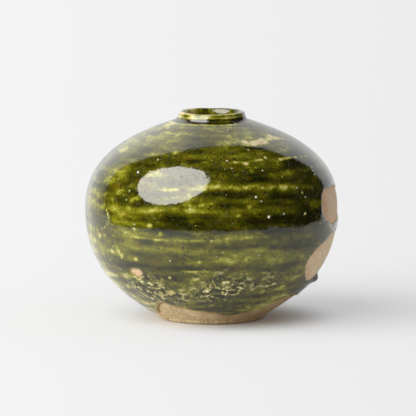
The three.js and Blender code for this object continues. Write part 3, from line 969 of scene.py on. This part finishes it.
class VASE_OT_set_stage(bpy.types.Operator):
    """Lays the table, hangs the backdrop, and places the lamps and the camera"""

    bl_idname = "vase.set_stage"
    bl_label = "Set the Stage"

    def execute(self, context):
        studio = context.scene.vase_studio
        context.scene.view_settings.view_transform = "Standard"
        self.lay_floor(studio)
        self.lay_table(studio)
        self.hang_backdrop(studio)
        self.hang_softbox(studio)
        self.darken_room()
        self.add_lights(context, studio)
        self.add_camera(context)
        return {"FINISHED"}

    def staged(self, name, shape, material):
        """A mesh object that belongs to the stage and not to the vase."""
        mesh = bpy.data.meshes.new(name)
        shape.to_mesh(mesh)
        shape.free()
        mesh.materials.append(material)
        made = bpy.data.objects.new(name, mesh)
        bpy.context.scene.collection.objects.link(made)
        return made

    def only_reflected(self, name, shape, material):
        """A piece of the stage that is seen in the glaze and nowhere else."""
        made = self.staged(name, shape, material)
        for ray in ("camera", "diffuse", "transmission", "volume_scatter", "shadow"):
            setattr(made, "visible_" + ray, False)

    def lay_floor(self, studio):
        """A wide floor for the camera, with painted light that makes it lighter towards the left. Seen
        directly, its shade is lifted away from the foot.
        """
        finish = Finish("pale_floor")
        place = finish.place()
        across, back, _ = finish.split(place)
        right = finish.remap(across / (back + CAMERA["distance"]), -VIEW_SPREAD, VIEW_SPREAD, smooth=False)
        table = Vector(studio.table)
        # Painted light: the floor's colour and glow are lighter on the left than on the right.
        colour = finish.ramp(right, ((0.0, (*table * 1.03, 1)), (1.0, (*table * 0.97, 1))))
        white = finish.ramp(right, ((0.0, (0.91, 0.91, 0.915, 1)), (1.0, (0.83, 0.83, 0.845, 1))))
        outside = finish.vector("DISTANCE", place, SHADE["middle"], output="Value")
        lift = finish.remap(outside, SHADE["dark to"], SHADE["lifted from"], 0.0, studio.lift)
        lit = finish.node("BsdfDiffuse", Color=colour)
        glow = finish.node("Emission", Color=white)
        material = finish.show(finish.node("MixShader", finish.seen_directly() * lift, lit, glow))
        wide = bmesh.new()
        bmesh.ops.create_grid(wide, x_segments=1, y_segments=1, size=FLOOR_REACH)
        self.staged("floor", wide, material).visible_glossy = False

    def lay_table(self, studio):
        """The white table that the glaze mirrors, which glows brighter towards the left as painted light.
        """
        paper = Finish("table_paper")
        across, _, _ = paper.split(paper.place())
        lit = paper.node("BsdfDiffuse", Color=(*studio.table, 1))
        # Painted light: the sheet glows on its left side.
        glow = paper.node("Emission", Strength=paper.remap(across, 0.0, -0.2, 0.0, 0.45))
        material = paper.show(paper.node("AddShader", lit, glow))
        flat = bmesh.new()
        corners = [flat.verts.new((x, y, SHEET_LIFT)) for x, y in TABLE_EDGE]
        edges = [flat.edges.new(pair) for pair in zip(corners, corners[1:] + corners[:1])]
        bmesh.ops.edgeloop_fill(flat, edges=edges)
        bmesh.ops.recalc_face_normals(flat, faces=flat.faces)
        self.only_reflected("table_sheet", flat, material)

    def hang_softbox(self, studio):
        finish = Finish("softbox_white")
        glow = finish.show(finish.node("Emission", Color=(1.0, 0.985, 0.94, 1), Strength=studio.glow))
        disc = bmesh.new()
        bmesh.ops.create_circle(disc, cap_ends=True, segments=48, radius=1.0)
        bmesh.ops.scale(disc, vec=(SOFTBOX["half width"], SOFTBOX["half height"], 1), verts=disc.verts)
        facing = (CAMERA["aim"] - SOFTBOX["place"]).to_track_quat("Z", "Y").to_matrix()
        bmesh.ops.rotate(disc, cent=(0, 0, 0), matrix=facing, verts=disc.verts)
        bmesh.ops.translate(disc, vec=SOFTBOX["place"], verts=disc.verts)
        self.only_reflected("softbox", disc, glow)

    def darken_room(self):
        finish = Finish("dark_room")
        dark = finish.show(finish.node("BsdfDiffuse", Color=(0.012, 0.012, 0.012, 1)))
        room = bmesh.new()
        bmesh.ops.create_icosphere(room, subdivisions=3, radius=ROOM_RADIUS)
        self.only_reflected("room", room, dark)

    def hang_backdrop(self, studio):
        """The glowing backdrop. Its light ends at a curved top, and is even behind the vase."""
        finish = Finish("backdrop_white")
        place = finish.place()
        across, _, up = finish.split(place)
        left, right, height = BACKDROP["left"], BACKDROP["right"], BACKDROP["height"]
        share = finish.remap(across, left, right, smooth=False)

        def along(stops, whole):
            """Levels across the backdrop, as shares of a whole."""
            shares = (((x - left) / (right - left), level / whole) for x, level in stops)
            return finish.ramp(share, [(place, (grey, grey, grey, 1)) for place, grey in shares])

        spread = along(BACKDROP_GLOW, 1.0)
        within = finish.remap(along(BACKDROP_TOP, height) * height - up, -0.03, 0.04)
        middle = finish.vector("MULTIPLY_ADD", place, (1, 0, 1), (0, 0, -0.04))
        close = finish.remap(finish.vector("LENGTH", middle, output="Value"), 0.34, 0.12)
        level = finish.layered(spread, (close, (0.80, 0.80, 0.80, 1)))
        material = finish.show(finish.node("Emission", Color=level, Strength=within * studio.back))

        curve, steps = BACKDROP["curve"], BACKDROP["curve steps"]
        start, foot = BACKDROP["distance"] - curve, SHEET_LIFT * 2
        line = [(start, foot)]
        for k in range(1, steps + 1):
            angle = math.pi / 2 * k / steps
            line.append((start + curve * math.sin(angle), foot + curve * (1 - math.cos(angle))))
        line.append((BACKDROP["distance"], height))
        rise = bmesh.new()
        corners = [rise.verts.new((left, y, z)) for y, z in line]
        edges = [rise.edges.new(pair) for pair in zip(corners, corners[1:])]
        swept = bmesh.ops.extrude_edge_only(rise, edges=edges)
        moved = [v for v in swept["geom"] if isinstance(v, bmesh.types.BMVert)]
        bmesh.ops.translate(rise, vec=(right - left, 0, 0), verts=moved)
        self.only_reflected("backdrop", rise, material)

    def add_lights(self, context, studio):
        for name, strength in (("key", studio.key), ("side", studio.side)):
            lamp = bpy.data.lights.new(name + "_light", "SUN")
            lamp.energy = strength
            lamp.angle = LAMPS[name]["spread"]
            lamp.color = (1.0, 0.99, 0.975)
            shining = bpy.data.objects.new(name + "_light", lamp)
            shining.rotation_euler = (-LAMPS[name]["from"]).to_track_quat("-Z", "Y").to_euler()
            shining.visible_glossy = False
            context.scene.collection.objects.link(shining)
        room = Finish("room_light", bpy.data.worlds.new("room_light"))
        fill = room.node("Background", Color=(0.98, 0.99, 1.0, 1), Strength=studio.fill)
        wall = room.node("Background", Color=linear(239, 239, 241))
        shown = room.node("MixShader", room.seen_directly(), fill, wall)
        context.scene.world = room.show(shown, "OutputWorld")

    def add_camera(self, context):
        lens = bpy.data.cameras.new("camera")
        lens.sensor_width = SENSOR
        lens.lens = SENSOR * CAMERA["distance"] / FRAME_WIDTH
        lens.clip_end = 60.0
        camera = bpy.data.objects.new("camera", lens)
        tilt = CAMERA["elevation"]
        away = Vector((0, -math.cos(tilt), math.sin(tilt)))
        camera.location = CAMERA["aim"] + away * CAMERA["distance"]
        camera.rotation_euler = (-away).to_track_quat("-Z", "Y").to_euler()
        context.scene.collection.objects.link(camera)
        context.scene.camera = camera


def hidden(points):
    """Points of (radius, height) with a run that marks them as out of sight."""
    return [(radius, height, OUT_OF_SIGHT) for radius, height in points]


def tongue(rim, base, slack=0.0):
    """The tongue between the walls, from the outside in, or the groove that holds it."""
    middle = (TONGUE[0][0] + TONGUE[-1][0]) / 2
    return [
        (rim - inwards * MM - math.copysign(slack, inwards - middle), base + up * MM)
        for inwards, up in TONGUE
    ]


class VASE_OT_throw_clay(bpy.types.Operator):
    """Throws the base slab, the two walls and the collar of fired clay"""

    bl_idname = "vase.throw_clay"
    bl_label = "Throw the Clay"

    outside_gap = {"lower": 1.3 * MM, "upper": 1.5 * MM, "collar": 0.7 * MM}
    inside_gap = 8 * MM

    def execute(self, context):
        line = ClayLine(context.scene.vase_sizes)
        pour = Pour(line, context.scene.vase_sizes.coat)
        clay = clay_finish(context.scene.vase_looks)
        joint = float(line.run_at(WALL_JOINT))
        for name, node, facets, points in (
            ("clay_base", "foot_base", 220, self.base_slab()),
            ("clay_lower_wall", "lower_wall", 300, self.lower_wall(line, joint)),
            ("clay_upper_wall", "upper_wall", 300, self.upper_wall(line, joint)),
            ("clay_collar", "neck_collar", 200, self.collar(line)),
        ):
            finish_piece(clay_piece(name, points, facets, pour), clay, [node], CREASE)
        return {"FINISHED"}

    def base_slab(self):
        recess = RECESS_EDGE[0][1] * MM
        under = [(0.0, recess), (RECESS_EDGE[0][0] / 2 * MM, recess)]
        under += [tuple(point) for point in smooth_through(RECESS_EDGE, 4) * MM]
        foot = smooth_through((*FOOT_EDGE, tuple(FOOT_TOP / MM)), 6) * MM
        floor = [(FLOOR_RADIUS, FOOT_TOP.y), (FLOOR_RADIUS, FLOOR), (0.0, FLOOR)]
        return hidden(under) + [(radius, height, 0.0) for radius, height in foot] + hidden(floor)

    def lower_wall(self, line, joint):
        outside = [(*line.at(run), run) for run in spaced(0, joint, self.outside_gap["lower"])]
        inside = [line.at(run, -line.wall(run)) for run in spaced(joint, 0, self.inside_gap)]
        inside[0] = (inside[0][0], WALL_JOINT)
        floor = [(FLOOR_RADIUS + SEAM, FLOOR), (FLOOR_RADIUS + SEAM, FOOT_TOP.y)]
        return outside + hidden(tongue(float(line.at(joint)[0]), WALL_JOINT) + inside + floor)

    def upper_wall(self, line, joint):
        base = WALL_JOINT + SEAM
        outside = [(*line.at(run), run) for run in spaced(joint, line.root, self.outside_gap["upper"])]
        outside[0] = (outside[0][0], base, outside[0][2])
        hole = SPIGOT["outer"] + SEAM
        mouth = [(hole, SHOULDER_TOP.y), (hole, SPIGOT["bottom"] - SEAM)]
        inside = [line.at(run, -line.wall(run)) for run in spaced(line.hollow, joint, self.inside_gap)]
        inside[-1] = (inside[-1][0], base)
        groove = tongue(float(line.at(joint)[0]), base, SEAM)[::-1]
        return outside + hidden(mouth + inside + groove)

    def collar(self, line):
        start = line.root + 0.4 * MM
        over = [(*line.at(run), run) for run in spaced(start, line.end, self.outside_gap["collar"])]
        base = SHOULDER_TOP.y + SEAM
        spigot = [
            (SPIGOT["inner"], SPIGOT["bottom"]), (SPIGOT["outer"], SPIGOT["bottom"]),
            (SPIGOT["outer"], base), (SHOULDER_TOP.x - SEAM, base),
        ]
        return over + hidden(spigot)


class VASE_OT_pour_glaze(bpy.types.Operator):
    """Pours the outer coat of glass, from its wavy hem up over the lip and into the neck"""

    bl_idname = "vase.pour_glaze"
    bl_label = "Pour the Glaze"

    body_gap = 1.12 * MM
    neck_gap = 0.55 * MM
    inner_rows = 26
    below_hem = 2.6 * MM
    above_end = 0.8 * MM
    bedded = {"start": 0.5 * MM, "least": 0.15 * MM, "depth": 0.3 * MM}
    swell = {"size": 26 * MM, "seed": 13, "reach": 0.10 * MM, "from edge": 3 * MM}

    def execute(self, context):
        sizes = context.scene.vase_sizes
        line = ClayLine(sizes)
        pour = Pour(line, sizes.coat)
        body = spaced(0, line.hollow, self.body_gap)
        neck = spaced(line.hollow, line.end - self.above_end, self.neck_gap)[1:]
        outer = np.concatenate([body, neck])
        inner = np.linspace(outer[-1], outer[0], self.inner_rows)
        share = np.concatenate([outer, inner]) / outer[-1]
        side = np.concatenate([np.ones(len(outer)), np.zeros(len(inner))])
        offset = np.where(side > 0.5, sizes.coat, -self.bedded["start"])
        radius, height = line.at(share * outer[-1], offset)
        piece = spun("glaze_coat", list(zip(radius, height)), sizes.facets, {"share": share, "side": side})

        bearing, _ = bearings_of(piece)
        share = mark_of(piece, "share")
        outside = mark_of(piece, "side") > 0.5
        low = hem_run(line, bearing) - self.below_hem
        run = low + share * (outer[-1] - low)
        hem, windows = pour.from_edges(bearing, run)
        thickness = pour.thickness(bearing, run, hem, windows)
        swell = wobble(round_places(bearing, run), self.swell["size"], self.swell["seed"])
        away = np.minimum(hem, windows) > self.swell["from edge"]
        thickness += np.where(away, swell * self.swell["reach"], 0)
        under = np.minimum(-self.bedded["least"], thickness - self.bedded["depth"])
        offset = np.where(outside, thickness, under)
        set_places(piece, place_round(bearing, *line.at(run, offset)))
        set_mark(piece, "near", np.clip(np.minimum(hem, windows * 3) / MM, -20, 20))
        set_mark(piece, "pale", pour.paleness(bearing, run))
        set_mark(piece, "crust", pour.crust(bearing, run))
        set_round_places(piece, bearing, run)
        glaze = glaze_finish(context.scene.vase_looks, line)
        finish_piece(piece, glaze, ["body_glaze", "neck_glaze"])
        return {"FINISHED"}


class VASE_OT_line_inside(bpy.types.Operator):
    """Lines the inside with glaze, closed across the floor"""

    bl_idname = "vase.line_inside"
    bl_label = "Line the Inside"

    facets = 160
    gap = 5 * MM
    clear = 0.3 * MM
    depth = 0.6 * MM

    def execute(self, context):
        line = ClayLine(context.scene.vase_sizes)
        runs = spaced(0, line.hollow, self.gap)[1:]

        def skin(inwards):
            floor = [(0.0, FLOOR + inwards), (FLOOR_RADIUS, FLOOR + inwards)]
            return floor + [tuple(line.at(run, -line.wall(run) - inwards)) for run in runs]

        section = skin(self.clear) + skin(self.clear + self.depth)[::-1]
        marks = [0.0, 0.0, *runs]
        piece = spun("glaze_liner", section, self.facets, {"run": marks + marks[::-1]})
        bearing, places = bearings_of(piece)
        radius = np.hypot(places[:, 0], places[:, 1])
        set_places(piece, place_round(bearing, radius, places[:, 2]))
        for key, level in (("near", 20.0), ("pale", 0.05), ("crust", 0.0)):
            set_mark(piece, key, np.full(len(radius), level))
        set_round_places(piece, bearing, mark_of(piece, "run") + radius)
        glaze = glaze_finish(context.scene.vase_looks, line, "inner_ash_glaze")
        finish_piece(piece, glaze, ["liner_glaze"], CREASE)
        return {"FINISHED"}


class VASE_PT_panel(bpy.types.Panel):
    """Lists the steps that make the vase and their settings"""

    bl_label = "Ash Glazed Vase"
    bl_space_type = "VIEW_3D"
    bl_region_type = "UI"
    bl_category = "Vase"

    def draw(self, context):
        scene = context.scene
        for group in (scene.vase_sizes, scene.vase_looks, scene.vase_studio):
            box = self.layout.box()
            for key in group.__annotations__:
                box.prop(group, key)
        for step in STEPS:
            self.layout.operator(step.bl_idname)


STEPS = (VASE_OT_set_stage, VASE_OT_throw_clay, VASE_OT_pour_glaze, VASE_OT_line_inside)
CLASSES = (VaseSizes, VaseLooks, StudioSettings, *STEPS, VASE_PT_panel)


def register():
    for made in CLASSES:
        bpy.utils.register_class(made)
    bpy.types.Scene.vase_sizes = PointerProperty(type=VaseSizes)
    bpy.types.Scene.vase_looks = PointerProperty(type=VaseLooks)
    bpy.types.Scene.vase_studio = PointerProperty(type=StudioSettings)


def unregister():
    del bpy.types.Scene.vase_studio
    del bpy.types.Scene.vase_looks
    del bpy.types.Scene.vase_sizes
    for made in reversed(CLASSES):
        bpy.utils.unregister_class(made)


def main():
    register()
    bpy.ops.vase.set_stage()
    bpy.ops.vase.throw_clay()
    bpy.ops.vase.pour_glaze()
    bpy.ops.vase.line_inside()


if __name__ == "__main__":
    main()
